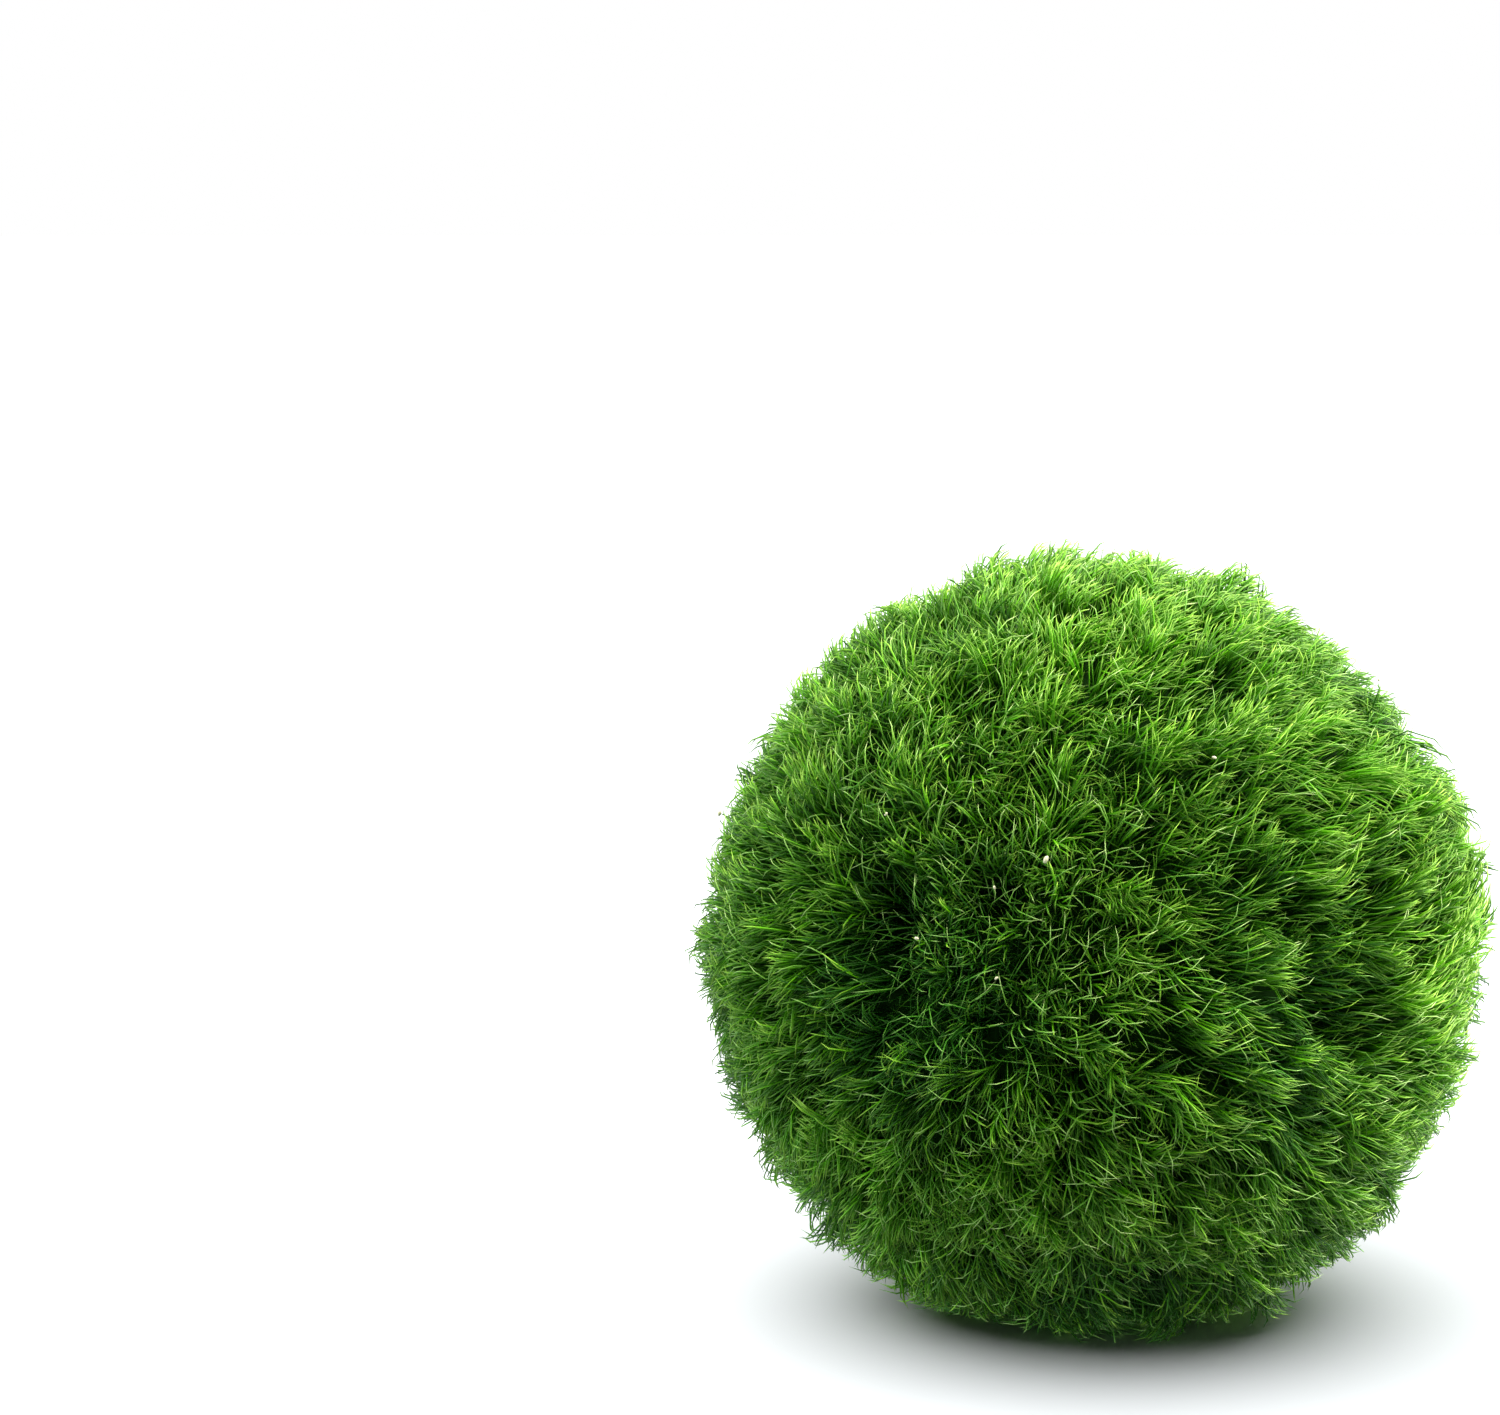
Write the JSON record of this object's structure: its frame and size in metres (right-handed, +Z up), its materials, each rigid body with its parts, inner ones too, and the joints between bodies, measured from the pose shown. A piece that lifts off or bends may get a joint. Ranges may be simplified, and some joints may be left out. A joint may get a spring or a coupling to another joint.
{
  "type": "marimo moss ball",
  "caption": "Round ball of matted green alga filaments combed into short soft locks, resting on a small flat spot of its own.",
  "frame": {"origin": "middle of the flat spot that the ball rests on", "axes": "+Z up, out of the top of the ball; the ball's face, where the crown of its filaments is, points to -Y; +X to the right of the face"},
  "size_m": [0.0504, 0.0502, 0.0484],
  "materials": {
    "moss": "soft matt mat of fine green alga filaments, dark between the tufts and yellow green at the tips"
  },
  "bodies": {
    "root": {"moss_ball": "moss"}
  },
  "joints": []
}
